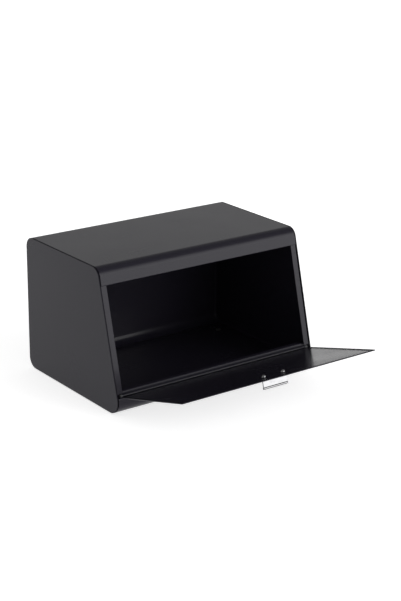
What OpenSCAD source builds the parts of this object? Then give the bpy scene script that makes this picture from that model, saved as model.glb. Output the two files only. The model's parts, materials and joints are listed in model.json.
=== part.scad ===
// Fall-front bread bin in bent sheet steel: one wrapped shell between two
// tray-shaped side panels, with a front door that drops open on a hinge rod.
// The front leans back; the door is drawn open, resting on its stop.

/* [Body] */
// Width over the two side panels
body_w = 372; // [300:1:450]
// Depth from the rear wall to the sharp lower front corner
body_d = 260; // [220:1:320]
// Height of the body without its feet
body_h = 216; // [180:1:260]
// How far the front leans back over the height of the body
front_lean = 56; // [30:1:80]
// Radius of the top and rear bends, outside
bend_r = 17; // [12:0.5:24]
// Radius of the lower front bend, outside
toe_r = 21; // [12:0.5:21.5]
// Thickness of the sheet steel
sheet = 0.8; // [0.6:0.1:1]

/* [Opening] */
// Height of the header's lower edge above the floor
header_z = 192; // [160:1:200]
// Height of the sill above the floor
sill_z = 37.4; // [36:0.1:42]
// Depth of the sill's ledge
sill_depth = 7; // [5:0.5:10]
// Width of each side strip, from the side panel's outer face
strip_w = 12; // [11:0.5:18]
// Depth of the side strips behind the front face
strip_recess = 1.9; // [1.8:0.1:3]

/* [Side panels] */
// Depth of the rounded rim from the outer face
rim_w = 0.9; // [0.8:0.1:2]
// Width of the groove between a rim and the shell
groove_w = 1.6; // [0.8:0.1:2]
// Depth of the groove
groove_d = 2.6; // [2:0.1:4]
// Width of the flange that carries the shell, from the outer face
flange_w = 5.5; // [5:0.5:10]

/* [Door] */
// Height of the hinge axis above the floor
hinge_z = 32; // [31:0.5:34]
// Angle of the open door above level
open_angle = 15.8; // [10:0.1:20]
// Width of the door
door_w = 362; // [280:1:438]
// Gap between the closed door and the header
door_gap = 1; // [0.5:0.1:2]
// Width of the folded hem
hem_w = 8; // [5:0.5:12]

/* [Hinge] */
// Diameter of the hinge rod
rod_d = 3.3; // [3:0.1:3.6]
// Radial clearance round the hinge rod
rod_clearance = 0.05; // [0.03:0.01:0.1]

/* [Handle] */
// Width of the handle
handle_w = 45; // [35:1:80]
// How far the handle stands out from the door
handle_reach = 16.5; // [12:0.5:24]
// Thickness of the handle's plate
handle_t = 2; // [1:0.1:3]
// Distance between the handle's screws
screw_pitch = 35.8; // [25:0.1:60]
// Diameter of the screw heads
screw_head_d = 7; // [6:0.5:9]
// Height of the domed screw heads
screw_head_h = 4.4; // [2:0.1:5]

/* [Feet] */
// Height of the feet below the body
foot_h = 2; // [1:0.5:6]
// Diameter of the feet
foot_d = 16; // [12:1:20]
// Distance of the feet from the centre, sideways
foot_x = 158; // [110:1:160]
// Distance of the feet from the centre, front to back
foot_y = 86; // [60:1:100]

/* [Hidden] */
$fn = 48;
bend_steps = 8; // straight pieces in a bend
tight_r = 2;
tight_steps = 4; // and in one under the tight radius

half_w = body_w / 2;
rear_y = body_d / 2;
front_y = -body_d / 2;
top_z = foot_h + body_h;
lean = atan2(front_lean, body_h);
lay = 0.05; // space left between two layers of sheet that lie on each other
bore_extra = 1; // how far a cut runs past the piece that it cuts
mid = sheet / 2;

// Hinge: the door's edge is curled round the rod, flush with the front face
curl_in = rod_d / 2 + rod_clearance;
curl_out = curl_in + sheet;
hinge_u = (hinge_z - foot_h + curl_out * sin(lean)) / cos(lean);
hinge_y = front_y + (hinge_z - foot_h) * tan(lean) + curl_out / cos(lean);
travel = 90 - open_angle + lean;

// Front folds of the shell, as distances up and in from the front face
header_u = (header_z - foot_h) / cos(lean);
header_hem = 10;
hem_step = sheet + 0.25; // from one layer of the header's hem to the other
hem_bend = 0.46;
ridge_w = 1.6; // the open door rests on the ridge
ridge_gap = 0.08;
ridge_bend = 0.7;
ridge_u = hinge_u - curl_out - ridge_gap - mid;
channel_d = 3.1; // depth of the hinge channel under the curl
channel_gap = 0.4; // and the space behind it
shelf_u = hinge_u - curl_out - channel_d;
riser_w = 2 * curl_out + channel_gap + mid;
fold_r = 0.6;
sill_bend = 2.4;

flange_in = sheet + lay; // the flange lies under the shell
shell_half = half_w - rim_w - groove_w;
web_end = shell_half + lay;
flange_half = half_w - flange_w;
strip_half = half_w - strip_w;
strip_depth = 9; // the strips reach this far back along the bends
strip_end_u = hinge_u + 3.3;
far = 2 * body_h;

door_half = door_w / 2;
door_len = header_u - door_gap - hinge_u;
curl_half = strip_half - 0.4;
curl_mouth = 0.2; // the curl stops this far short of the axis
wing_start = 3; // where the door widens past its curled edge
door_face = -curl_out;
hem_face = door_face + 2 * sheet;
corner_r = 2;

ear_x = strip_half + 0.6;
ear_t = 1.6;
ear_r = 2.2;
ear_base_t = 1.2;
ear_foot = 7;
ear_gap = 0.3;
cap_r = 2.4;
cap_len = 3.2;
cap_wall = 1;
cap_gap = 0.1;

screw_z = door_len - 24.3;
screw_r = 1.5;
screw_bite = 2.6; // how far a screw runs into the handle's root
screw_clearance = 0.1;
head_step = 0.25; // share of a domed head's height that is straight
handle_front = 3.1; // the plate's outer side stands this far past the screws
root_half = 3.1; // the root that takes the screws
root_h = 3.4;
bead_r = 2;

stud_r = 2.95;
foot_hole_r = 3;
foot_head_r = 4.6;
foot_head_h = 2.5;
foot_edge = 0.6;

black = [0.16, 0.16, 0.17];
polished = [0.8, 0.8, 0.82];
zinc = [0.62, 0.63, 0.65];
rubber = [0.08, 0.08, 0.08];

function unit(v) = v / norm(v);
function turned(p, a) = [p[0] * cos(a) - p[1] * sin(a), p[0] * sin(a) + p[1] * cos(a)];

// A point at height z, a distance w in from the front face
function at_height(z, w) = [front_y + (z - foot_h) * tan(lean) + w / cos(lean), z];

// A point a distance u up the front face and w in from it
function on_slope(u, w) =
    [front_y + u * sin(lean) + w * cos(lean), foot_h + u * cos(lean) - w * sin(lean)];

// Points that round the corner b between a and c
function corner_arc(a, b, c, r) =
    let (
        u = unit(a - b),
        v = unit(c - b),
        half = acos(u * v) / 2,
        centre = b + unit(u + v) * r / sin(half),
        start = b + u * r / tan(half) - centre,
        turn = (u[0] * v[1] > u[1] * v[0] ? -1 : 1) * (180 - 2 * half),
        steps = r < tight_r ? tight_steps : bend_steps
    )
    [for (i = [0:steps]) centre + turned(start, turn * i / steps)];

// An open line of [point, radius] corners, and a closed one
function bent_line(p) = [
    for (i = [0:len(p) - 1])
        each i == 0 || i == len(p) - 1
            ? [p[i][0]]
            : corner_arc(p[i - 1][0], p[i][0], p[i + 1][0], p[i][1])
];
function bent_loop(p) = [
    for (i = [0:len(p) - 1])
        each corner_arc(p[(i + len(p) - 1) % len(p)][0], p[i][0], p[(i + 1) % len(p)][0], p[i][1])
];

function edge_normal(a, b) = [a[1] - b[1], b[0] - a[0]] / norm(b - a);

// A line moved sideways by a distance
function beside(p, distance) = [
    for (i = [0:len(p) - 1])
        let (
            before = max(i - 1, 0),
            after = min(i, len(p) - 2),
            n = edge_normal(p[before], p[before + 1]),
            m = edge_normal(p[after], p[after + 1])
        )
        p[i] + (n + m) * distance / (1 + n * m)
];

// The outline of thick sheet that follows a centre line
function thick(line, t) =
    let (left = beside(line, t / 2), right = beside(line, -t / 2), last = len(line) - 1)
    concat(left, [for (i = [0:last]) right[last - i]]);

// The body's outline, inset by one distance round it and another at the front
function outline(inset, front) =
    let (r = bend_r - inset)
    bent_loop([
        [at_height(foot_h + inset, front), toe_r - inset],
        [[rear_y - inset, foot_h + inset], r],
        [[rear_y - inset, top_z - inset], r],
        [at_height(top_z - inset, front), r]
    ]);

// Centre line of the shell: header hem, header, top, rear, bottom, ridge, shelf and sill
function shell_line() = bent_line([
    [on_slope(header_u + header_hem, mid + hem_step), 0],
    [on_slope(header_u + mid, mid + hem_step), hem_bend],
    [on_slope(header_u + mid, mid), hem_bend],
    [at_height(top_z - mid, mid), bend_r - mid],
    [[rear_y - mid, top_z - mid], bend_r - mid],
    [[rear_y - mid, foot_h + mid], bend_r - mid],
    [at_height(foot_h + mid, mid), toe_r - mid],
    [on_slope(ridge_u, mid), ridge_bend],
    [on_slope(ridge_u, mid + ridge_w), ridge_bend],
    [on_slope(shelf_u, mid + ridge_w), fold_r],
    [on_slope(shelf_u, riser_w), fold_r],
    [at_height(sill_z - mid, riser_w), sill_bend],
    [at_height(sill_z - mid, riser_w) + [sill_depth, 0], 0]
]);

// Extrudes an outline drawn in front-to-back and height across the width
module across(x0, x1) {
    translate([x0, 0, 0])
        rotate([90, 0, 90])
            linear_extrude(x1 - x0)
                children();
}

module cylinder_across(x0, x1, r) {
    translate([x0, 0, 0])
        rotate([0, 90, 0])
            cylinder(h = x1 - x0, r = r);
}

module on_side(side) {
    mirror([side < 0 ? 1 : 0, 0, 0])
        children();
}

// Draws the door's pieces from the hinge axis: z runs along the door, y points in
module on_door() {
    translate([0, hinge_y, hinge_z])
        rotate([90 - open_angle, 0, 0])
            children();
}

// Draws pieces from the hinge axis along the leaning front
module on_hinge() {
    translate([0, hinge_y, hinge_z])
        rotate([-lean, 0, 0])
            children();
}

module at_feet() {
    for (x = [-foot_x, foot_x], y = [-foot_y, foot_y])
        translate([x, y, 0])
            children();
}

module shell_wrap() {
    color(black)
        difference() {
            across(-shell_half, shell_half)
                polygon(thick(shell_line(), sheet));
            at_feet()
                cylinder(h = foot_h + bend_r / 2, r = foot_hole_r);
        }
}

// A band of the body's outline from one inset inwards by a thickness
module outline_band(x0, x1, inset, front, t) {
    difference() {
        across(x0, x1)
            polygon(outline(inset, front));
        across(x0 - bore_extra, x1 + bore_extra)
            polygon(outline(inset + t, front + t));
    }
}

// Outer face and rim, groove, and the flange that widens into the strip at the front
module side_panel(side) {
    groove_front = strip_recess + groove_d - flange_in;
    web_t = groove_d + sheet - flange_in;
    color(black)
        on_side(side) {
            across(half_w - rim_w, half_w)
                polygon(outline(0, 0));
            outline_band(web_end, half_w - rim_w, groove_d, groove_front, sheet);
            difference() {
                union() {
                    outline_band(web_end - sheet, web_end, flange_in, strip_recess, web_t);
                    outline_band(strip_half, web_end, flange_in, strip_recess, sheet);
                }
                // behind the strip the flange is narrow
                across(strip_half - bore_extra, flange_half)
                    polygon([
                        on_slope(-far, strip_depth),
                        on_slope(far, strip_depth),
                        on_slope(far, far),
                        on_slope(-far, far)
                    ]);
                // the strip stops above the hinge, and the lower front clears the shell's folds
                across(strip_half - bore_extra, web_end)
                    polygon([
                        on_slope(strip_end_u, -far),
                        on_slope(strip_end_u, strip_depth),
                        on_slope(-far, strip_depth),
                        on_slope(-far, -far)
                    ]);
            }
        }
}

module hinge_bracket(side) {
    base_y = ridge_w + sheet + ear_gap - curl_out;
    base_z = shelf_u + mid - hinge_u;
    base_w = riser_w - mid - ridge_w - sheet - 2 * ear_gap;
    color(zinc)
        on_side(side)
            on_hinge()
                difference() {
                    union() {
                        cylinder_across(ear_x, ear_x + ear_t, ear_r);
                        translate([ear_x, base_y, base_z])
                            cube([ear_t, ear_r - base_y - ear_gap, -base_z]);
                        translate([ear_x, base_y, base_z])
                            cube([ear_foot, base_w, ear_base_t]);
                    }
                    cylinder_across(ear_x - bore_extra, ear_x + ear_t + bore_extra, curl_in);
                }
}

module hinge_rod() {
    rod_half = ear_x + ear_t + cap_len - cap_wall - cap_gap;
    color(zinc)
        on_hinge()
            cylinder_across(-rod_half, rod_half, rod_d / 2);
}

module rod_cap(side) {
    start = ear_x + ear_t;
    color(black)
        on_side(side)
            on_hinge()
                difference() {
                    cylinder_across(start, start + cap_len, cap_r);
                    cylinder_across(start - bore_extra, start + cap_len - cap_wall, curl_in);
                }
}

// Flat sheet with its two free corners rounded, from one height to another
module door_sheet(half, z0, z1, y0, y1) {
    translate([0, y1, 0])
        rotate([90, 0, 0])
            linear_extrude(y1 - y0)
                polygon(concat(
                    [[-half, z0], [half, z0]],
                    corner_arc([half, z0], [half, z1], [-half, z1], corner_r),
                    corner_arc([half, z1], [-half, z1], [-half, z0], corner_r)
                ));
}

module door_panel() {
    color(black)
        on_door()
            difference() {
                union() {
                    door_sheet(door_half, wing_start, door_len, door_face, door_face + sheet);
                    translate([-curl_half, door_face, 0])
                        cube([2 * curl_half, sheet, wing_start + sheet]);
                    difference() {
                        cylinder_across(-curl_half, curl_half, curl_out);
                        cylinder_across(-half_w, half_w, curl_in);
                        translate([-half_w, -2 * curl_out, 0])
                            cube([body_w, 2 * curl_out - curl_mouth, 2 * curl_out]);
                    }
                    difference() {
                        door_sheet(door_half, wing_start, door_len, door_face + sheet, hem_face);
                        translate([hem_w - door_half, door_face, 0])
                            cube([door_w - 2 * hem_w, 2 * curl_out, door_len - hem_w]);
                    }
                }
                handle_holes(screw_clearance);
            }
}

module handle_holes(clearance) {
    for (x = [-screw_pitch / 2, screw_pitch / 2])
        translate([x, 0, screw_z])
            rotate([90, 0, 0])
                cylinder(h = curl_out + screw_bite, r = screw_r + clearance);
}

// A root that takes the screws, a plate that stands out from it and a bead along its edge
module handle() {
    front_z = screw_z + handle_front;
    tip_y = door_face - handle_reach + bead_r;
    color(polished)
        on_door()
            difference() {
                union() {
                    translate([-handle_w / 2, door_face - root_h, screw_z - root_half])
                        cube([handle_w, root_h, root_half + handle_front]);
                    translate([-handle_w / 2, tip_y, front_z - handle_t])
                        cube([handle_w, door_face - tip_y, handle_t]);
                    translate([0, tip_y, front_z - handle_t / 2])
                        cylinder_across(-handle_w / 2, handle_w / 2, bead_r);
                }
                handle_holes(screw_clearance / 2);
            }
}

// Half outline of a domed head that sits at height 0
function dome(head_r, head_h) =
    [for (a = [0:15:90]) [head_r * cos(a), head_h * (head_step + (1 - head_step) * sin(a))]];

module handle_screws() {
    length = sheet + screw_bite;
    color(polished)
        on_door()
            for (x = [-screw_pitch / 2, screw_pitch / 2])
                translate([x, door_face + sheet, screw_z])
                    rotate([-90, 0, 0])
                        rotate_extrude()
                            polygon(concat(
                                [[0, -length], [screw_r, -length], [screw_r, 0]],
                                dome(screw_head_d / 2, screw_head_h)
                            ));
}

// Push-in foot: pad below the floor, stud through it, domed head inside
module foot(x, y) {
    color(rubber)
        translate([x, y, foot_h + sheet])
            rotate_extrude()
                polygon(concat(
                    [
                        [0, -foot_h - sheet],
                        [foot_d / 2 - foot_edge, -foot_h - sheet],
                        [foot_d / 2, foot_edge - foot_h - sheet],
                        [foot_d / 2, -sheet],
                        [stud_r, -sheet],
                        [stud_r, 0]
                    ],
                    dome(foot_head_r, foot_head_h)
                ));
}

shell_wrap();
side_panel(-1);  // side_panel_left
side_panel(1);  // side_panel_right
hinge_bracket(-1);  // hinge_bracket_left
hinge_bracket(1);  // hinge_bracket_right
hinge_rod();
rod_cap(-1);  // rod_cap_left
rod_cap(1);  // rod_cap_right
door_panel();
handle();
handle_screws();
foot(-foot_x, -foot_y);  // foot_front_left
foot(foot_x, -foot_y);  // foot_front_right
foot(-foot_x, foot_y);  // foot_rear_left
foot(foot_x, foot_y);  // foot_rear_right
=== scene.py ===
"""Looks of a fall-front bread bin: black powder-coated sheet steel with a polished handle."""

import json
import math

import bmesh
import bpy
from mathutils import Matrix, Vector


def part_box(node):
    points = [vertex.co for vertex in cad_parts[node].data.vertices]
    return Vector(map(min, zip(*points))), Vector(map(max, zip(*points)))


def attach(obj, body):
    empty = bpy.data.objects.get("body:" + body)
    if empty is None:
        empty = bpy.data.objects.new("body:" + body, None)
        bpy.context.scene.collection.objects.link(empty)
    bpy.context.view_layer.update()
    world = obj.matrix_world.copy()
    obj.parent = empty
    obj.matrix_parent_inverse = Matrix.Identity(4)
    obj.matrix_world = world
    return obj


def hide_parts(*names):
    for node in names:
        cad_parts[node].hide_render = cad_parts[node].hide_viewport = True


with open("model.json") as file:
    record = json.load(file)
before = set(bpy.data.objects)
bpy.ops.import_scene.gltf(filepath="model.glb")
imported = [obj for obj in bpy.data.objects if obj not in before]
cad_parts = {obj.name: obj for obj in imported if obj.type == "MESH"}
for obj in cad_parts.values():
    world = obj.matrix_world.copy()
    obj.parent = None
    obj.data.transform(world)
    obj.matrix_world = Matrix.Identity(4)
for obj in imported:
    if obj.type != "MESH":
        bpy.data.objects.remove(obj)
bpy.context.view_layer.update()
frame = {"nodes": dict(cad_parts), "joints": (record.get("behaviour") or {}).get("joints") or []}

bl_info = {
    "name": "Bread Bin",
    "version": (1, 0, 0),
    "blender": (4, 5, 0),
    "location": "3D View > Sidebar > Bread Bin",
    "description": "Builds a bent-steel bread bin with a fall-front door round its packed frame",
    "category": "Object",
}

MM = 0.001
HINGE = frame["joints"][0]
AXIS = Vector(HINGE["pos_m"])
TRAVEL = math.radians(HINGE["range_deg"][1])
SHELL_LOW, SHELL_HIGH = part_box("shell_wrap")
PANEL_LOW, PANEL_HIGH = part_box("side_panel_right")
DOOR_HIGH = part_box("door_panel")[1]
ROD_LOW, ROD_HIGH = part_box("hinge_rod")
HANDLE_LOW, HANDLE_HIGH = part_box("handle")
FEET = ("foot_front_left", "foot_front_right", "foot_rear_left", "foot_rear_right")
FOOT_LOW, FOOT_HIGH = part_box(FEET[0])

FLOOR_Z = SHELL_LOW.z  # underside of the shell
TOP_Z = SHELL_HIGH.z
REAR_Y = SHELL_HIGH.y
HALF_WIDTH = PANEL_HIGH.x
SHELL_HALF = SHELL_HIGH.x
STRIP_HALF = PANEL_LOW.x  # inner edge of a side strip
DOOR_HALF = DOOR_HIGH.x
ROD_R = (ROD_HIGH.z - ROD_LOW.z) / 2

SAME_PLACE = 0.001 * MM  # points closer than this are merged
SLIVER = 0.0001 * MM  # edges shorter than this are removed
UPRIGHT = 0.25  # share of a dome's height that stands upright


# ---------------------------------------------------------------- settings


def length(name, description, default_mm, low_mm=0.01, high_mm=2000.0):
    """A length property whose default is given in millimetres."""
    return bpy.props.FloatProperty(
        name=name,
        description=description,
        default=default_mm * MM,
        min=low_mm * MM,
        max=high_mm * MM,
        unit="LENGTH",
        precision=5,
    )


def angle(name, description, degrees):
    return bpy.props.FloatProperty(
        name=name, description=description, default=math.radians(degrees), subtype="ANGLE"
    )


def colour(name, description, rgb):
    return bpy.props.FloatVectorProperty(
        name=name, description=description, default=rgb, subtype="COLOR", size=3, min=0.0, max=1.0
    )


def factor(name, description, default):
    return bpy.props.FloatProperty(
        name=name, description=description, default=default, min=0.0, max=1.0, subtype="FACTOR"
    )


def strength(name, description, default):
    return bpy.props.FloatProperty(name=name, description=description, default=default, min=0.0)


class SheetSizes(bpy.types.PropertyGroup):
    """Sizes of the bent sheet steel."""

    sheet: length("Sheet", "Thickness of the sheet steel", 0.8)
    edge: length("Edge", "Rounding of a cut edge of the sheet", 0.22)
    bend: length("Bend", "Outside radius of the top and rear bends", 17)
    toe: length("Toe", "Outside radius of the lower front bend", 21)
    open_angle: angle("Open angle", "Angle of the open door above level", 15.8)
    header_z: length("Header height", "Height of the header's lower edge", 192)
    header_hem: length("Header hem", "Height of the hem behind the header", 10)
    hem_step: length("Hem step", "From one layer of the header's hem to the other", 1.05)
    hem_ease: length("Hem ease", "How much tighter the hem's bends are than half its step", 0.06)
    sill_z: length("Sill height", "Height of the sill's ledge", 37.4)
    sill_depth: length("Sill depth", "Depth of the sill's ledge", 7)
    sill_bend: length("Sill bend", "Radius of the sill's front bend", 2.4)
    ridge: length("Ridge", "Width of the ridge that the open door rests on", 1.6)
    ridge_gap: length("Ridge gap", "Space between the ridge and the door's curl", 0.08)
    ridge_bend: length("Ridge bend", "Middle radius of the ridge's bends", 0.7)
    channel: length("Channel", "Space under the door's curl in the hinge channel", 3.1)
    channel_gap: length("Channel gap", "Space behind the door's curl in the hinge channel", 0.4)
    channel_bend: length("Channel bend", "Middle radius of the hinge channel's bends", 0.6)
    rim: length("Rim", "Depth of a side panel's rim", 0.9)
    rim_round: length("Rim rounding", "Radius of a side panel's outer edge", 0.6)
    groove: length("Groove", "Depth of the groove beside the rim", 2.6)
    flange: length("Flange", "Width of the flange that carries the shell", 5.5)
    strip_depth: length("Strip depth", "How far back along the bends a side strip reaches", 9)
    strip_end: length("Strip end", "From the hinge up to the lower end of a side strip", 3.3)
    recess: length("Recess", "Depth of the side strips behind the front", 1.9)
    clearance: length("Clearance", "Space left between layers and round the rod", 0.05)


class DoorSizes(bpy.types.PropertyGroup):
    """Sizes of the door, its handle and its screws."""

    gap: length("Door gap", "Gap between the closed door and the header", 1)
    hem: length("Hem", "Width of the door's folded hems", 8)
    corner: length("Corner", "Radius of the door's free corners", 2)
    wing: length("Wing start", "Distance from the axis at which the door widens", 3)
    curl_inset: length("Curl inset", "How far a curl's end stays inside the side strip", 0.4)
    curl_lap: length("Curl lap", "How far the curl's sheet runs under the flat sheet", 1)
    curl_turn: angle("Curl turn", "How far the lower edge is curled round the rod", 262)
    plate: length("Handle plate", "Thickness of the handle's plate", 2)
    plate_front: length("Plate front", "From the screws to the plate's outer side", 3.1)
    root: length("Handle root", "From the screws to the root's inner side", 3.1)
    root_height: length("Root height", "How far the root stands out from the door", 3.4)
    root_bend: length("Root bend", "Rounding of the root's outer corner", 0.5)
    plate_bend: length("Plate bend", "Rounding between the root and the plate", 1)
    reach: length("Handle reach", "How far the handle stands out from the door", 16.5)
    bead: length("Handle bead", "Radius of the bead along the handle's edge", 2)
    handle_edge: length("Handle edge", "Rounding of the handle's edges", 0.25)
    pitch: length("Screw pitch", "Distance between the two screws", 35.8)
    screw_setback: length("Screw setback", "Distance of the screws from the free edge", 24.3)
    screw_bite: length("Screw bite", "How far a screw runs into the handle's root", 2.6)
    screw_head: length("Screw head", "Radius of a screw's head", 3.5)
    screw_dome: length("Screw dome", "Height of a screw's head", 4.4)
    screw_shank: length("Screw shank", "Radius of a screw's shank", 1.5)
    head_foot: length("Head foot", "Height of the bevel under a screw's head", 0.3)
    head_bevel: length("Head bevel", "Width of the bevel under a screw's head", 1.1)


class FootSizes(bpy.types.PropertyGroup):
    """Sizes of the rubber feet."""

    head: length("Foot head", "Radius of a foot's head inside the bin", 4.6)
    stud: length("Foot stud", "Radius of a foot where it passes through the floor", 2.95)
    edge: length("Foot edge", "Rounding of a foot's lower edge", 0.6)
    ease: length("Foot ease", "Rounding of a foot's other edges", 0.2)
    ring: length("Foot ring", "Width of the ring that a foot stands on", 1.8)
    slope: length("Foot slope", "Width of the slope inside that ring", 0.4)
    hollow: length("Foot hollow", "Depth of the hollow under a foot", 0.3)


class Finishes(bpy.types.PropertyGroup):
    """Colours and gloss of the bin's finishes."""

    coat: colour("Coat", "Powder coat", (0.0118, 0.0106, 0.0162))
    coat_dust: colour("Coat flecks", "Lighter flecks in the powder coat", (0.0205, 0.0188, 0.0262))
    coat_roughness: factor("Coat roughness", "Mean roughness of the powder coat", 0.25)
    steel: colour("Steel", "Polished steel of the handle and screws", (0.225, 0.225, 0.23))
    # Painted shade: this plated colour is darkened so the hinge rod reads as the shade in its channel
    # rather than as bright plate.
    zinc: colour("Zinc", "Plated steel of the hinge", (0.05, 0.05, 0.055))
    plastic: colour("Plastic", "Moulded caps of the hinge rod", (0.018, 0.018, 0.019))
    rubber: colour("Rubber", "Feet", (0.014, 0.014, 0.014))


class StageSettings(bpy.types.PropertyGroup):
    """Floor, sky and camera."""

    floor: colour("Floor", "Pale floor", (0.8, 0.8, 0.8))
    floor_size: bpy.props.FloatProperty(
        name="Floor size", description="Half of the floor's width", default=9.0, min=1.0, unit="LENGTH"
    )
    glow: strength("Glow", "Light from the floor", 0.7)
    horizon: strength("Horizon", "Brightness low down", 0.62)
    zenith: strength("Zenith", "Brightness overhead", 0.3)
    zenith_from: factor("Zenith from", "Height of aim at which the overhead light begins", 0.25)
    zenith_full: factor("Zenith full", "Height of aim at which it is full", 0.95)
    window: strength("Window", "Brightness of the soft light at the front right", 3.8)
    window_aim: bpy.props.FloatVectorProperty(
        name="Window aim", description="Direction of the soft light at the front right",
        default=(0.55, -0.82, 0.12), subtype="DIRECTION", size=3,
    )
    window_from: factor("Window from", "Cosine from its middle at which the window begins", 0.72)
    window_full: factor("Window full", "Cosine from its middle at which it is full", 0.97)
    azimuth: angle("Azimuth", "Camera's turn from the front", -36.641)
    elevation: angle("Elevation", "Camera's height above level", 19.078)
    roll: angle("Roll", "Camera's roll", 0.507)
    distance: length("Distance", "Camera's distance from its target", 2393.5, high_mm=9000.0)
    target: bpy.props.FloatVectorProperty(
        name="Target", description="Point that the camera looks at",
        default=(0.0557, 0.0, 0.1004), subtype="TRANSLATION", size=3,
    )
    lens: bpy.props.FloatProperty(
        name="Lens", description="Focal length in millimetres", default=89.51, min=10.0
    )
    sensor: bpy.props.FloatProperty(
        name="Sensor", description="Width of the sensor in millimetres", default=36.0, min=1.0
    )
    far: bpy.props.FloatProperty(
        name="Far", description="How far the camera sees", default=50.0, min=1.0, unit="LENGTH"
    )


class BreadBin(bpy.types.PropertyGroup):
    """Everything that can be set for the bread bin."""

    body: bpy.props.PointerProperty(type=SheetSizes)
    door: bpy.props.PointerProperty(type=DoorSizes)
    foot: bpy.props.PointerProperty(type=FootSizes)
    finish: bpy.props.PointerProperty(type=Finishes)
    stage: bpy.props.PointerProperty(type=StageSettings)


def settings():
    return bpy.context.scene.bread_bin


# ---------------------------------------------------------------- places


class Front:
    """The leaning front: turns distances up it and in from it into places."""

    def __init__(self, size):
        self.lean = TRAVEL - math.pi / 2 + size.open_angle
        self.curl = ROD_R + size.clearance + size.sheet
        up = AXIS.z - FLOOR_Z
        self.y = AXIS.y - up * math.tan(self.lean) - self.curl / math.cos(self.lean)
        self.hinge_u = (up + self.curl * math.sin(self.lean)) / math.cos(self.lean)
        self.header_u = (size.header_z - FLOOR_Z) / math.cos(self.lean)

    def at_height(self, z, w):
        """The point at height z, a distance w in from the front, as (y, z)."""
        return Vector((self.y + (z - FLOOR_Z) * math.tan(self.lean) + w / math.cos(self.lean), z))

    def on_slope(self, u, w):
        """The point a distance u up the front and w in from it, as (y, z)."""
        sin, cos = math.sin(self.lean), math.cos(self.lean)
        return Vector((self.y + u * sin + w * cos, FLOOR_Z + u * cos - w * sin))

    def distances(self, p):
        """How far a point (y, z) is up the front and in from it."""
        sin, cos = math.sin(self.lean), math.cos(self.lean)
        from_corner = p - Vector((self.y, FLOOR_Z))
        return from_corner.dot(Vector((sin, cos))), from_corner.dot(Vector((cos, -sin)))


def door_length(front, door):
    """From the axis to the door's free edge."""
    return front.header_u - door.gap - front.hinge_u


def turn_steps(degrees, count):
    """Angles from 0 through a turn, in equal steps."""
    return [math.radians(degrees * i / count) for i in range(count + 1)]


def domed(radius, base, height):
    """The outline of a dome that starts upright, as (radius, height) points."""
    points = []
    for a in turn_steps(90, 10):
        rise = UPRIGHT + (1 - UPRIGHT) * math.sin(a)
        points.append((radius * math.cos(a), base + height * rise))
    return points


def door_place(size):
    """Matrix from the door's own axes to the bin's: z runs along the door, y points in."""
    return Matrix.Translation(AXIS) @ Matrix.Rotation(math.pi / 2 - size.open_angle, 4, "X")


def arc(centre, start, sweep, steps):
    """Points on an arc in a plane, from a start vector through a sweep."""
    out = []
    for i in range(steps + 1):
        a = sweep * i / steps
        out.append(centre + Matrix.Rotation(a, 2) @ start)
    return out


def rounded(before, corner, after, radius, steps):
    """Points that round a corner of a plane line."""
    if radius <= 0:
        return [corner]
    u, v = (before - corner).normalized(), (after - corner).normalized()
    half = u.angle(v) / 2
    centre = corner + (u + v).normalized() * radius / math.sin(half)
    start = corner + u * radius / math.tan(half) - centre
    turn = math.pi - 2 * half
    if u.x * v.y - u.y * v.x > 0:
        turn = -turn
    return arc(centre, start, turn, steps)


def bent_line(corners, steps=12):
    """Points of an open line from its (point, radius) corners."""
    points = [corners[0][0]]
    for before, (corner, radius), after in zip(corners, corners[1:], corners[2:]):
        points += rounded(before[0], corner, after[0], radius, steps)
    return points + [corners[-1][0]]


def bent_loop(corners, steps):
    """Points of a closed line from its (point, radius) corners."""
    points = []
    for i, (corner, radius) in enumerate(corners):
        before, after = corners[i - 1][0], corners[(i + 1) % len(corners)][0]
        points += rounded(before, corner, after, radius, steps)
    return points


# ---------------------------------------------------------------- meshes


def new_object(name, mesh, material=None):
    piece = bpy.data.objects.new(name, mesh)
    bpy.context.scene.collection.objects.link(piece)
    if material is not None:
        mesh.materials.clear()
        mesh.materials.append(material)
    return piece


def line_mesh(name, points, closed=False):
    """A mesh of edges along a line of points."""
    mesh = bpy.data.meshes.new(name)
    edges = [(i, i + 1) for i in range(len(points) - 1)]
    if closed:
        edges.append((len(points) - 1, 0))
    mesh.from_pydata([tuple(p) for p in points], edges, [])
    return mesh


def spun_mesh(name, outline, steps=40):
    """A closed solid of revolution about z from an outline of (radius, height) points."""
    bm = bmesh.new()
    verts = [bm.verts.new((r, 0.0, z)) for r, z in outline]
    edges = [bm.edges.new(pair) for pair in zip(verts, verts[1:])]
    bmesh.ops.spin(
        bm, geom=verts + edges, axis=(0, 0, 1), cent=(0, 0, 0), angle=2 * math.pi, steps=steps
    )
    return closed_mesh(name, bm)


def closed_mesh(name, bm):
    """Merges doubles, turns the faces outwards, smooths them and frees the bmesh."""
    bmesh.ops.remove_doubles(bm, verts=bm.verts, dist=SAME_PLACE)
    bmesh.ops.dissolve_degenerate(bm, dist=SLIVER, edges=bm.edges)
    bmesh.ops.recalc_face_normals(bm, faces=bm.faces)
    if bm.calc_volume(signed=True) < 0:
        bmesh.ops.reverse_faces(bm, faces=bm.faces)
    for face in bm.faces:
        face.smooth = True
    mesh = bpy.data.meshes.new(name)
    bm.to_mesh(mesh)
    bm.free()
    return mesh


def lofted(bm, rings):
    """Skins a row of equal rings of points and caps both ends."""
    rows = [[bm.verts.new(p) for p in ring] for ring in rings]
    count = len(rows[0])
    for row, after in zip(rows, rows[1:]):
        for i in range(count):
            j = (i + 1) % count
            bm.faces.new((row[i], row[j], after[j], after[i]))
    bm.faces.new(rows[0])
    bm.faces.new(rows[-1])


def evaluated(piece):
    """A plain mesh of an object with its modifiers applied."""
    graph = bpy.context.evaluated_depsgraph_get()
    graph.update()
    return bpy.data.meshes.new_from_object(piece.evaluated_get(graph), depsgraph=graph)


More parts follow.
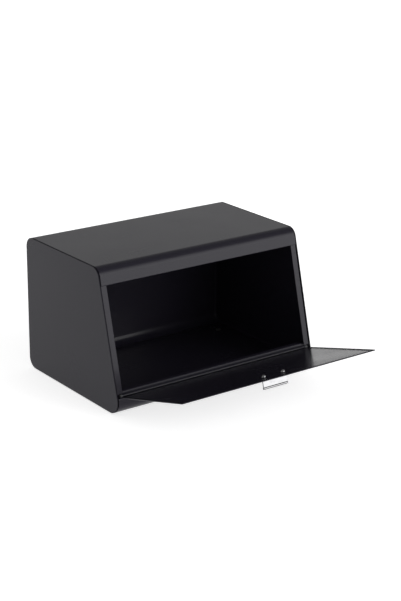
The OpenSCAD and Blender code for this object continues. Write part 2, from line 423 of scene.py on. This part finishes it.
def discard(*pieces):
    for piece in pieces:
        bpy.data.objects.remove(piece)


def settled(name, parts, material, rounding=0.0):
    """Joins closed meshes, rounds their edges and leaves flat faces flat beside their bends."""
    joined = bmesh.new()
    for part in parts:
        bm = bmesh.new()
        bm.from_mesh(part)
        cleaned = closed_mesh(name, bm)
        joined.from_mesh(cleaned)
        bpy.data.meshes.remove(cleaned)
    mesh = bpy.data.meshes.new(name)
    joined.to_mesh(mesh)
    joined.free()
    draft = new_object(name + "_draft", mesh, material)
    if rounding > 0:
        bevel = draft.modifiers.new("Rounded edges", "BEVEL")
        bevel.width = rounding
        bevel.segments = 3
        bevel.limit_method = "ANGLE"
        bevel.angle_limit = math.radians(50)
    weighted = draft.modifiers.new("Flat faces stay flat", "WEIGHTED_NORMAL")
    weighted.keep_sharp = True
    weighted.weight = 80
    mesh = evaluated(draft)
    discard(draft)
    for old in parts:
        bpy.data.meshes.remove(old)
    mesh.name = name
    return new_object(name, mesh, material)


# ---------------------------------------------------------------- geometry nodes


class Tree:
    """Builds a node tree: one method adds any node with its settings and inputs."""

    def __init__(self, tree):
        self.tree = tree

    def node(self, kind, options=None, **inputs):
        made = self.tree.nodes.new(kind)
        for name, value in (options or {}).items():
            setattr(made, name, value)
        for name, value in inputs.items():
            self.feed(made.inputs[name.replace("_", " ")], value)
        return made

    def feed(self, socket, value):
        if isinstance(value, Value):
            value = value.socket
        if isinstance(value, bpy.types.NodeSocket):
            self.tree.links.new(value, socket)
        else:
            socket.default_value = value


def geometry_tree(name, sizes):
    """An empty geometry tree with a geometry input and output and named inputs."""
    group = bpy.data.node_groups.new(name, "GeometryNodeTree")
    group.interface.new_socket("Geometry", in_out="INPUT", socket_type="NodeSocketGeometry")
    for label, kind in sizes.items():
        group.interface.new_socket(label, in_out="INPUT", socket_type=kind)
    group.interface.new_socket("Geometry", in_out="OUTPUT", socket_type="NodeSocketGeometry")
    build = Tree(group)
    return build, build.node("NodeGroupInput").outputs


def end_tree(build, geometry, material):
    """Ends a geometry tree in Realize Instances and Set Material."""
    real = build.node("GeometryNodeRealizeInstances", Geometry=geometry)
    painted = build.node(
        "GeometryNodeSetMaterial", Geometry=real.outputs["Geometry"], Material=material
    )
    build.node("NodeGroupOutput", Geometry=painted.outputs["Geometry"])
    return build.tree


def grown(name, base, group, **values):
    """Runs a geometry tree on a base mesh and returns the plain mesh it makes."""
    draft = new_object(name + "_draft", base)
    modifier = draft.modifiers.new(name, "NODES")
    modifier.node_group = group
    for item in group.interface.items_tree:
        if item.in_out == "INPUT" and item.name in values:
            modifier[item.identifier] = values[item.name]
    mesh = evaluated(draft)
    draft.modifiers.remove(modifier)
    discard(draft)
    return mesh


def sheet_tree():
    """Sheet metal that follows a bent line: a rounded strip swept along it."""
    build, given = geometry_tree(
        "Sheet along a line",
        {
            "Width": "NodeSocketFloat",
            "Thickness": "NodeSocketFloat",
            "Edge": "NodeSocketFloat",
            "Material": "NodeSocketMaterial",
        },
    )
    line = build.node("GeometryNodeMeshToCurve", Mesh=given["Geometry"])
    strip = build.node(
        "GeometryNodeCurvePrimitiveQuadrilateral",
        {"mode": "RECTANGLE"},
        Width=given["Width"],
        Height=given["Thickness"],
    )
    eased = build.node(
        "GeometryNodeFilletCurve",
        {"mode": "POLY"},
        Curve=strip.outputs["Curve"],
        Count=4,
        Radius=given["Edge"],
        Limit_Radius=True,
    )
    swept = build.node(
        "GeometryNodeCurveToMesh",
        Curve=line.outputs["Curve"],
        Profile_Curve=eased.outputs["Curve"],
        Fill_Caps=True,
    )
    return end_tree(build, swept.outputs["Mesh"], given["Material"])


def section_tree():
    """Any closed section swept along a line."""
    build, given = geometry_tree(
        "Section along a line",
        {"Section": "NodeSocketObject", "Material": "NodeSocketMaterial"},
    )
    line = build.node("GeometryNodeMeshToCurve", Mesh=given["Geometry"])
    drawn = build.node("GeometryNodeObjectInfo", Object=given["Section"])
    section = build.node("GeometryNodeMeshToCurve", Mesh=drawn.outputs["Geometry"])
    swept = build.node(
        "GeometryNodeCurveToMesh",
        Curve=line.outputs["Curve"],
        Profile_Curve=section.outputs["Curve"],
        Fill_Caps=True,
    )
    return end_tree(build, swept.outputs["Mesh"], given["Material"])


def copies_tree():
    """The same small piece set at each point of a mesh, turned one way."""
    build, given = geometry_tree(
        "Piece at each point",
        {
            "Piece": "NodeSocketObject",
            "Turn": "NodeSocketVector",
            "Material": "NodeSocketMaterial",
        },
    )
    drawn = build.node("GeometryNodeObjectInfo", Object=given["Piece"])
    turn = build.node("FunctionNodeEulerToRotation", Euler=given["Turn"])
    copies = build.node(
        "GeometryNodeInstanceOnPoints",
        Points=given["Geometry"],
        Instance=drawn.outputs["Geometry"],
        Rotation=turn.outputs["Rotation"],
    )
    return end_tree(build, copies.outputs["Instances"], given["Material"])


def swept_sheet(name, points, width, thickness, edge, material):
    """Sheet metal of a width and thickness along a line of places."""
    return grown(
        name, line_mesh(name, points), sheet_tree(),
        Width=width, Thickness=thickness, Edge=edge, Material=material,
    )


def across(points, x=0.0):
    """Places at one distance across the width from (y, z) points."""
    return [Vector((x, p.x, p.y)) for p in points]


# ---------------------------------------------------------------- finishes


class Value:
    """A number in a material's tree that can be used in Python expressions."""

    def __init__(self, build, socket):
        self.build = build
        self.socket = socket

    def maths(self, operation, first, second=0.0):
        made = self.build.node("ShaderNodeMath", {"operation": operation})
        self.build.feed(made.inputs[0], first)
        self.build.feed(made.inputs[1], second)
        return Value(self.build, made.outputs[0])

    def __add__(self, other):
        return self.maths("ADD", self, other)

    __radd__ = __add__

    def __sub__(self, other):
        return self.maths("SUBTRACT", self, other)

    def __rsub__(self, other):
        return self.maths("SUBTRACT", other, self)

    def __mul__(self, other):
        return self.maths("MULTIPLY", self, other)

    __rmul__ = __mul__

    def over(self, low, high):
        """0 below low, 1 above high, and smooth between them."""
        made = self.build.node(
            "ShaderNodeMapRange",
            {"interpolation_type": "SMOOTHSTEP"},
            Value=self,
            From_Min=low,
            From_Max=high,
        )
        return Value(self.build, made.outputs["Result"])


class Finish(Tree):
    """One material: its tree, its shader and its patterns on object coordinates."""

    def __init__(self, name, **constants):
        self.material = bpy.data.materials.new(name)
        self.material.use_nodes = True
        super().__init__(self.material.node_tree)
        self.tree.nodes.clear()
        self.shader = self.node("ShaderNodeBsdfPrincipled")
        for socket, value in constants.items():
            self.feed(self.shader.inputs[socket.replace("_", " ")], value)
        out = self.node("ShaderNodeOutputMaterial")
        self.tree.links.new(self.shader.outputs["BSDF"], out.inputs["Surface"])
        self.place = self.node("ShaderNodeTexCoord").outputs["Object"]

    def stretched(self, x, y, z):
        """Object coordinates scaled along each axis."""
        return self.node("ShaderNodeMapping", Vector=self.place, Scale=(x, y, z)).outputs["Vector"]

    def noise(self, size, detail=2.0, roughness=0.5, place=None):
        """Noise whose marks are about one size across, from 0 to 1."""
        made = self.node(
            "ShaderNodeTexNoise",
            Vector=place or self.place,
            Scale=1 / size,
            Detail=detail,
            Roughness=roughness,
        )
        return Value(self, made.outputs["Fac"])

    def cells(self, size):
        """Distance from the middles of scattered cells about one size across."""
        made = self.node("ShaderNodeTexVoronoi", Vector=self.place, Scale=1 / size)
        return Value(self, made.outputs["Distance"])

    def mixed(self, amount, low, high):
        """A colour between two, by an amount."""
        made = self.node("ShaderNodeMix", {"data_type": "RGBA"})
        self.feed(made.inputs["Factor"], amount)
        self.feed(made.inputs[6], (*low, 1.0))
        self.feed(made.inputs[7], (*high, 1.0))
        return made.outputs[2]

    def bump(self, height, depth, strength):
        made = self.node(
            "ShaderNodeBump", Height=height, Distance=depth, Strength=strength
        )
        self.feed(self.shader.inputs["Normal"], made.outputs["Normal"])

    def set(self, **values):
        for socket, value in values.items():
            self.feed(self.shader.inputs[socket.replace("_", " ")], value)


def powder_coat(look):
    """Satin black powder coat: a fine orange-peel skin with faint flecks and smears."""
    coat = Finish("powder_coat", IOR=1.5, Specular_IOR_Level=0.145)
    peel = coat.noise(1.5 * MM, 2.0)
    grain = coat.noise(0.35 * MM, 2.0)
    cloud = coat.noise(70 * MM, 3.0)
    flecks = coat.noise(0.8 * MM, 3.0, 0.7).over(0.56, 0.74)
    coat.set(
        Base_Color=coat.mixed(flecks * 0.7 + cloud * 0.2, look.coat, look.coat_dust),
        Roughness=look.coat_roughness + (cloud - 0.5) * 0.1 + (grain - 0.5) * 0.06,
    )
    coat.bump(peel * 0.75 + grain * 0.25, 0.05 * MM, 0.35)
    return coat.material


def polished_steel(look):
    """Polished steel with fine drawing lines along its length and a few dull marks."""
    steel = Finish("polished_steel", Metallic=1.0)
    lines = steel.noise(0.25 * MM, 3.0, place=steel.stretched(0.03, 1.0, 1.0))
    dull = steel.noise(6 * MM, 3.0).over(0.45, 0.8)
    darker = tuple(0.8 * c for c in look.steel)
    steel.set(
        Base_Color=steel.mixed(dull * 0.5 + lines * 0.3, look.steel, darker),
        Roughness=0.13 + dull * 0.09 + (lines - 0.5) * 0.05,
    )
    steel.bump(lines, 0.01 * MM, 0.2)
    return steel.material


def plated_steel(look):
    """Zinc plate with soft crystal patches, its colour darkened as painted shade so the hinge rod
    reads dark in its shaded channel.
    """
    zinc = Finish("plated_steel", Metallic=1.0)
    patches = zinc.cells(2.5 * MM)
    grain = zinc.noise(0.3 * MM, 2.0)
    pale = tuple(min(1.0, 1.3 * c) for c in look.zinc)
    # The base colour here is the darkened plate, painted shade for the hinge channel; the lighter
    # crystal patches are the plate's own.
    zinc.set(
        Base_Color=zinc.mixed(patches, look.zinc, pale),
        Roughness=0.34 + patches * 0.12 + (grain - 0.5) * 0.08,
    )
    zinc.bump(grain, 0.02 * MM, 0.3)
    return zinc.material


def moulded_black(look):
    """Black plastic with a fine moulded grain."""
    plastic = Finish("moulded_black", IOR=1.46)
    grain = plastic.noise(0.3 * MM, 3.0, 0.6)
    cloud = plastic.noise(4 * MM, 2.0)
    pale = tuple(1.5 * c for c in look.plastic)
    plastic.set(
        Base_Color=plastic.mixed(grain * 0.6 + cloud * 0.3, look.plastic, pale),
        Roughness=0.5 + (cloud - 0.5) * 0.1,
    )
    plastic.bump(grain, 0.03 * MM, 0.4)
    return plastic.material


def foot_rubber(look):
    """Matt rubber, scuffed a little where it stands."""
    rubber = Finish("foot_rubber", IOR=1.5)
    grain = rubber.noise(0.4 * MM, 4.0, 0.65)
    scuffs = rubber.noise(3 * MM, 4.0, 0.7).over(0.55, 0.75)
    pale = tuple(2.2 * c for c in look.rubber)
    rubber.set(
        Base_Color=rubber.mixed(scuffs * 0.6 + grain * 0.2, look.rubber, pale),
        Roughness=0.72 + scuffs * 0.12,
    )
    rubber.bump(grain, 0.05 * MM, 0.5)
    return rubber.material


def pale_floor(stage):
    """Smooth pale floor."""
    floor = Finish("pale_floor", Roughness=0.7, Specular_IOR_Level=0.1)
    cloud = floor.noise(0.9, 2.0)
    shade = tuple(0.985 * c for c in stage.floor)
    floor.set(Base_Color=floor.mixed(cloud, stage.floor, shade))
    floor.set(Emission_Color=(1.0, 1.0, 1.0, 1.0), Emission_Strength=stage.glow)
    return floor.material


def finish_of(make):
    """The material that a maker returns, made once under a name of its own."""
    name = "finish_" + make.__name__
    material = bpy.data.materials.get(name)
    if material is None:
        material = make(settings().finish)
        material.name = name
    return material


# ---------------------------------------------------------------- pieces


def placed(piece, body, slot, *nodes):
    """Rides a finished piece on its body and hides the nodes it stands for; its slot is not used."""
    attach(piece, body)
    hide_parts(*nodes)


class BREADBIN_OT_shell(bpy.types.Operator):
    """Bend the shell: header, top, rear, bottom, lower front, hinge channel and sill"""

    bl_idname = "bread_bin.shell"
    bl_label = "Shell"

    def execute(self, context):
        size = settings().body
        front = Front(size)
        mid = size.sheet / 2
        hem = size.hem_step / 2 - size.hem_ease
        body_bend = size.bend - mid
        ridge_u = front.hinge_u - front.curl - size.ridge_gap - mid
        shelf_u = front.hinge_u - front.curl - size.channel
        riser_w = 2 * front.curl + size.channel_gap + mid
        sill = front.at_height(size.sill_z - mid, riser_w)
        line = bent_line([
            (front.on_slope(front.header_u + size.header_hem, mid + size.hem_step), 0),
            (front.on_slope(front.header_u + mid, mid + size.hem_step), hem),
            (front.on_slope(front.header_u + mid, mid), hem),
            (front.at_height(TOP_Z - mid, mid), body_bend),
            (Vector((REAR_Y - mid, TOP_Z - mid)), body_bend),
            (Vector((REAR_Y - mid, FLOOR_Z + mid)), body_bend),
            (front.at_height(FLOOR_Z + mid, mid), size.toe - mid),
            (front.on_slope(ridge_u, mid), size.ridge_bend),
            (front.on_slope(ridge_u, mid + size.ridge), size.ridge_bend),
            (front.on_slope(shelf_u, mid + size.ridge), size.channel_bend),
            (front.on_slope(shelf_u, riser_w), size.channel_bend),
            (sill, size.sill_bend),
            (sill + Vector((size.sill_depth, 0)), 0),
        ])
        coat = finish_of(powder_coat)
        mesh = swept_sheet("shell", across(line), 2 * SHELL_HALF, size.sheet, size.edge, coat)
        shell = settled("shell", [mesh], coat)
        placed(shell, "body", "powder_coat", "shell_wrap")
        return {"FINISHED"}


class BREADBIN_OT_side_panels(bpy.types.Operator):
    """Press the two side panels: face, rim, groove, and a flange that widens into the strip"""

    bl_idname = "bread_bin.side_panels"
    bl_label = "Side Panels"

    def execute(self, context):
        size = settings().body
        front = Front(size)
        coat = finish_of(powder_coat)
        zones = self.zones(size, front)
        for side, name in ((-1, "left"), (1, "right")):
            bm = bmesh.new()
            lofted(bm, [self.ring(size, front, side, zones, row) for row in self.rows(size)])
            panel = settled("side_plate_" + name, [closed_mesh("side_" + name, bm)], coat)
            placed(panel, "body", "powder_coat", "side_panel_" + name)
        return {"FINISHED"}

    def rows(self, size):
        """The section from outer to inner face: (inset, x) in the strip, behind it and in the cut."""
        under = size.sheet + size.clearance
        inner = size.groove + size.sheet
        half, ease, turned = size.sheet / 2, size.edge, size.rim_round
        rim_x = HALF_WIDTH - size.rim
        web_x = SHELL_HALF + size.clearance
        rows = []

        def plain(inset, x):
            rows.append({"strip": (inset, x), "rear": (inset, x), "cut": (inset, x)})

        def flanged(inset, x, rear_x, cut_inset):
            rows.append({"strip": (inset, x), "rear": (inset, rear_x), "cut": (cut_inset, web_x)})

        for a in turn_steps(90, 6):
            plain(turned * (1 - math.sin(a)), HALF_WIDTH - turned * (1 - math.cos(a)))
        plain(0, rim_x + ease)
        plain(ease, rim_x)
        plain(size.groove, rim_x)
        plain(size.groove, web_x)
        for a in turn_steps(90, 4):
            x = web_x - 2 * ease * (1 - math.cos(a))
            flanged(under + 2 * ease * (1 - math.sin(a)), x, x, size.groove)
        for a in turn_steps(180, 6):
            reach = half * (1 - math.sin(a))
            cut_inset = size.groove if a < math.pi / 2 else inner
            flanged(under + half * (1 - math.cos(a)), STRIP_HALF + reach,
                    HALF_WIDTH - size.flange + reach, cut_inset)
        flanged(under + size.sheet, web_x - size.sheet, web_x - size.sheet, inner)
        flanged(inner, web_x - size.sheet, web_x - size.sheet, inner)
        plain(inner, rim_x)
        return rows

    def outline(self, size, front, inset):
        """The body's outline at one inset, with two points where the strip ends."""
        radius = size.bend - inset
        under = size.sheet + size.clearance
        front_inset = inset + max(0, min(1, inset / under)) * (size.recess - under)
        points = bent_loop([
            (front.at_height(FLOOR_Z + inset, front_inset), size.toe - inset),
            (Vector((REAR_Y - inset, FLOOR_Z + inset)), radius),
            (Vector((REAR_Y - inset, TOP_Z - inset)), radius),
            (front.at_height(TOP_Z - inset, front_inset), radius),
        ], 14)
        for step in (0.05 * MM, -0.05 * MM):
            points.append(front.on_slope(front.hinge_u + size.strip_end + step, front_inset))
        return points

    def zones(self, size, front):
        """Which points of the outline lie in the strip, behind it, or where it is cut away."""
        found = []
        for p in self.outline(size, front, size.sheet + size.clearance):
            u, w = front.distances(p)
            cut = u < front.hinge_u + size.strip_end
            found.append("rear" if w > size.strip_depth else "cut" if cut else "strip")
        return found

    def ring(self, size, front, side, zones, row):
        outlines = {zone: self.outline(size, front, row[zone][0]) for zone in row}
        places = []
        for i, zone in enumerate(zones):
            p = outlines[zone][i]
            places.append(Vector((side * row[zone][1], p.x, p.y)))
        return places


class BREADBIN_OT_door(bpy.types.Operator):
    """Make the door: a flat sheet, three folded hems and the edge curled round the rod"""

    bl_idname = "bread_bin.door"
    bl_label = "Door"

    def execute(self, context):
        body, door = settings().body, settings().door
        front = Front(body)
        place = door_place(body)
        coat = finish_of(powder_coat)
        length_z = door_length(front, door)
        face = -front.curl
        parts = [
            self.flat_sheet(body, door, length_z, face),
            self.hems(body, door, length_z, face, coat),
            self.curl(body, door, front, coat),
        ]
        for part in parts:
            part.transform(place)
        panel = settled("door_skin", parts, coat)
        placed(panel, "door", "powder_coat", "door_panel")
        return {"FINISHED"}

    def flat_sheet(self, body, door, length_z, face):
        """The outer layer between the hems, with its cut lower edge eased."""
        half, top = DOOR_HALF - body.sheet, length_z - body.sheet
        radius = door.corner - body.sheet
        rings = []
        levels = ((face, body.edge), (face + body.edge, 0.0),
                  (face + body.sheet - body.edge, 0.0), (face + body.sheet, body.edge))
        for y, ease in levels:
            outline = bent_loop([
                (Vector((-half, door.wing + ease)), 0),
                (Vector((half, door.wing + ease)), 0),
                (Vector((half, top)), radius),
                (Vector((-half, top)), radius),
            ], 6)
            rings.append([Vector((p.x, y, p.y)) for p in outline])
        bm = bmesh.new()
        lofted(bm, rings)
        return closed_mesh("door_flat", bm)

    def hems(self, body, door, length_z, face, coat):
        """One fold that runs up a side, across the free edge and down the other side."""
        fold = body.sheet
        half, top = DOOR_HALF - fold, length_z - fold
        line = bent_line([
            (Vector((-half, door.wing)), 0),
            (Vector((-half, top)), door.corner - fold),
            (Vector((half, top)), door.corner - fold),
            (Vector((half, door.wing)), 0),
        ], 6)
        path = [Vector((p.x, face + fold, p.y)) for p in line]
        inner = door.hem - fold
        outline = arc(Vector((0, 0)), Vector((0, fold)), math.pi, 12)
        outline += arc(Vector((inner - body.edge, body.edge - fold)), Vector((0, -body.edge)),
                       math.pi / 2, 4)
        outline += [Vector((inner, 0)), Vector((0, 0))]
        section_points = [(p.x, p.y, 0) for p in outline]
        section = new_object("hem_section", line_mesh("hem_section", section_points, closed=True))
        mesh = grown("door_hem", line_mesh("door_hem", path), section_tree(),
                     Section=section, Material=coat)
        discard(section)
        return mesh

    def curl(self, body, door, front, coat):
        """The narrower lower edge, curled most of the way round the rod."""
        radius = front.curl - body.sheet / 2
        points = [Vector((-radius, door.wing + door.curl_lap)), Vector((-radius, 0))]
        points += arc(Vector((0, 0)), Vector((-radius, 0)), door.curl_turn, 40)[1:]
        half = STRIP_HALF - door.curl_inset
        return swept_sheet("door_curl", across(points), 2 * half, body.sheet, body.edge, coat)


class BREADBIN_OT_handle(bpy.types.Operator):
    """Draw the handle's profile: a root for the screws, a plate and a bead along its edge"""

    bl_idname = "bread_bin.handle"
    bl_label = "Handle"

    def execute(self, context):
        body, door = settings().body, settings().door
        front = Front(body)
        steel = finish_of(polished_steel)
        screw_z = door_length(front, door) - door.screw_setback
        face = -front.curl
        root_y = face - door.root_height
        front_z = screw_z + door.plate_front
        back_z = front_z - door.plate
        tip = Vector((face - door.reach + door.bead, front_z - door.plate / 2))
        neck = math.asin(door.plate / 2 / door.bead)
        start = Vector((math.cos(neck), -math.sin(neck))) * door.bead
        outline = bent_line([
            (Vector((face, screw_z - door.root)), 0),
            (Vector((root_y, screw_z - door.root)), door.root_bend),
            (Vector((root_y, back_z)), door.plate_bend),
            (tip + start, 0),
        ], 5)
        outline += arc(tip, start, 2 * neck - 2 * math.pi, 28)[1:]
        outline.append(Vector((face, front_z)))
        bm = bmesh.new()
        lofted(bm, [across(outline, x) for x in (HANDLE_LOW.x, HANDLE_HIGH.x)])
        mesh = closed_mesh("handle_profile", bm)
        mesh.transform(door_place(body))
        bar = settled("handle_bar", [mesh], steel, door.handle_edge)
        placed(bar, "door", "polished_steel", "handle")
        return {"FINISHED"}


class BREADBIN_OT_screws(bpy.types.Operator):
    """Set the two domed screws that hold the handle"""

    bl_idname = "bread_bin.screws"
    bl_label = "Screws"

    def execute(self, context):
        body, door = settings().body, settings().door
        front = Front(body)
        steel = finish_of(polished_steel)
        grip = body.sheet + door.screw_bite
        shank, head = door.screw_shank, door.screw_head
        outline = [(0, -grip), (shank, -grip), (shank, 0), (head - door.head_bevel, 0)]
        outline += [(head, door.head_foot)]
        outline += domed(head, 0, door.screw_dome)
        screw = new_object("screw", spun_mesh("screw", outline))
        inside = -front.curl + body.sheet
        z = door_length(front, door) - door.screw_setback
        holes = [Vector((x, inside, z)) for x in (-door.pitch / 2, door.pitch / 2)]
        holes = [door_place(body) @ p for p in holes]
        mesh = grown("handle_screw_pair", line_mesh("holes", holes), copies_tree(),
                     Piece=screw, Turn=(-body.open_angle, 0, 0), Material=steel)
        discard(screw)
        pair = settled("handle_screw_pair", [mesh], steel)
        placed(pair, "door", "polished_steel", "handle_screws")
        return {"FINISHED"}


class BREADBIN_OT_feet(bpy.types.Operator):
    """Push the four rubber feet into the shell's floor"""

    bl_idname = "bread_bin.feet"
    bl_label = "Feet"

    def execute(self, context):
        body, size = settings().body, settings().foot
        rubber = finish_of(foot_rubber)
        pad = (FOOT_HIGH.x - FOOT_LOW.x) / 2
        inside = FLOOR_Z + body.sheet
        ring, edge, ease = pad - size.ring, size.edge, size.ease
        outline = [(0, size.hollow), (ring - size.slope, size.hollow), (ring, 0)]
        outline += [(pad - edge, 0), (pad - 0.3 * edge, 0.3 * edge), (pad, edge)]
        outline += [(pad, FLOOR_Z - ease), (pad - ease, FLOOR_Z), (size.stud, FLOOR_Z)]
        outline += [(size.stud, inside), (size.head - ease, inside)]
        outline += domed(size.head, inside, FOOT_HIGH.z - inside)
        foot = new_object("foot", spun_mesh("foot", outline))
        centres = []
        for node in FEET:
            low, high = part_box(node)
            centres.append(Vector(((low.x + high.x) / 2, (low.y + high.y) / 2, 0)))
        mesh = grown("feet", line_mesh("feet", centres), copies_tree(),
                     Piece=foot, Turn=(0, 0, 0), Material=rubber)
        discard(foot)
        feet = settled("feet", [mesh], rubber)
        placed(feet, "body", "foot_rubber", *FEET)
        return {"FINISHED"}


class BREADBIN_OT_hinge(bpy.types.Operator):
    """Finish the hinge rod, its brackets and its caps"""

    bl_idname = "bread_bin.hinge"
    bl_label = "Hinge"

    def execute(self, context):
        finishes = {
            "hinge_rod": plated_steel,
            "hinge_bracket_left": plated_steel,
            "hinge_bracket_right": plated_steel,
            "rod_cap_left": moulded_black,
            "rod_cap_right": moulded_black,
        }
        for node, make in finishes.items():
            mesh = frame["nodes"][node].data
            mesh.materials.clear()
            mesh.materials.append(finish_of(make))
        return {"FINISHED"}


class BREADBIN_OT_stage(bpy.types.Operator):
    """Set the pale floor, the soft sky and the camera"""

    bl_idname = "bread_bin.stage"
    bl_label = "Stage"

    def execute(self, context):
        stage = settings().stage
        self.floor(stage)
        self.sky(context, stage)
        self.camera(context, stage)
        context.scene.view_settings.view_transform = "Standard"
        return {"FINISHED"}

    def floor(self, stage):
        bm = bmesh.new()
        bmesh.ops.create_grid(bm, x_segments=8, y_segments=8, size=stage.floor_size)
        mesh = bpy.data.meshes.new("floor")
        bm.to_mesh(mesh)
        bm.free()
        new_object("floor", mesh, pale_floor(stage))

    def sky(self, context, stage):
        """Soft light all round: dim low down, bright overhead, with a window at the front right."""
        world = bpy.data.worlds.new("studio")
        world.use_nodes = True
        sky = Tree(world.node_tree)
        sky.tree.nodes.clear()
        aim = sky.node("ShaderNodeTexCoord").outputs["Generated"]
        height = Value(sky, sky.node("ShaderNodeSeparateXYZ", Vector=aim).outputs["Z"])
        facing = sky.node("ShaderNodeVectorMath", {"operation": "DOT_PRODUCT"})
        sky.feed(facing.inputs[0], aim)
        sky.feed(facing.inputs[1], Vector(stage.window_aim).normalized())
        window = Value(sky, facing.outputs["Value"]).over(stage.window_from, stage.window_full)
        overhead = height.over(stage.zenith_from, stage.zenith_full)
        light = stage.horizon + overhead * (stage.zenith - stage.horizon) + window * stage.window
        background = sky.node("ShaderNodeBackground", Color=(1.0, 1.0, 1.0, 1.0), Strength=light)
        sky.node("ShaderNodeOutputWorld", Surface=background.outputs["Background"])
        context.scene.world = world

    def camera(self, context, stage):
        az, el = stage.azimuth, stage.elevation
        back = Vector((math.sin(az) * math.cos(el), -math.cos(az) * math.cos(el), math.sin(el)))
        right = (-back).cross(Vector((0, 0, 1))).normalized()
        up = right.cross(-back)
        sin, cos = math.sin(stage.roll), math.cos(stage.roll)
        turned_right = cos * right + sin * up
        turned_up = cos * up - sin * right
        data = bpy.data.cameras.new("camera")
        data.lens = stage.lens
        data.sensor_width = stage.sensor
        data.clip_end = stage.far
        camera = bpy.data.objects.new("camera", data)
        turn = Matrix((turned_right, turned_up, back)).transposed().to_4x4()
        camera.matrix_world = Matrix.Translation(Vector(stage.target) + back * stage.distance) @ turn
        context.scene.collection.objects.link(camera)
        context.scene.camera = camera


PIECES = (
    BREADBIN_OT_shell,
    BREADBIN_OT_side_panels,
    BREADBIN_OT_door,
    BREADBIN_OT_handle,
    BREADBIN_OT_screws,
    BREADBIN_OT_feet,
    BREADBIN_OT_hinge,
    BREADBIN_OT_stage,
)


class BREADBIN_PT_panel(bpy.types.Panel):
    """Lists the bin's pieces and sizes"""

    bl_idname = "BREADBIN_PT_panel"
    bl_label = "Bread Bin"
    bl_space_type = "VIEW_3D"
    bl_region_type = "UI"
    bl_category = "Bread Bin"

    def draw(self, context):
        layout = self.layout
        for piece in PIECES:
            layout.operator(piece.bl_idname)
        sizes = context.scene.bread_bin
        for group in (sizes.body, sizes.door, sizes.foot, sizes.finish, sizes.stage):
            box = layout.box()
            for name in group.__annotations__:
                box.prop(group, name)


CLASSES = (
    SheetSizes, DoorSizes, FootSizes, Finishes, StageSettings, BreadBin, *PIECES, BREADBIN_PT_panel,
)


def register():
    for cls in CLASSES:
        bpy.utils.register_class(cls)
    bpy.types.Scene.bread_bin = bpy.props.PointerProperty(type=BreadBin)


def unregister():
    del bpy.types.Scene.bread_bin
    for cls in reversed(CLASSES):
        bpy.utils.unregister_class(cls)


def main():
    register()
    for piece in PIECES:
        group, name = piece.bl_idname.split(".")
        getattr(getattr(bpy.ops, group), name)()


if __name__ == "__main__":
    main()
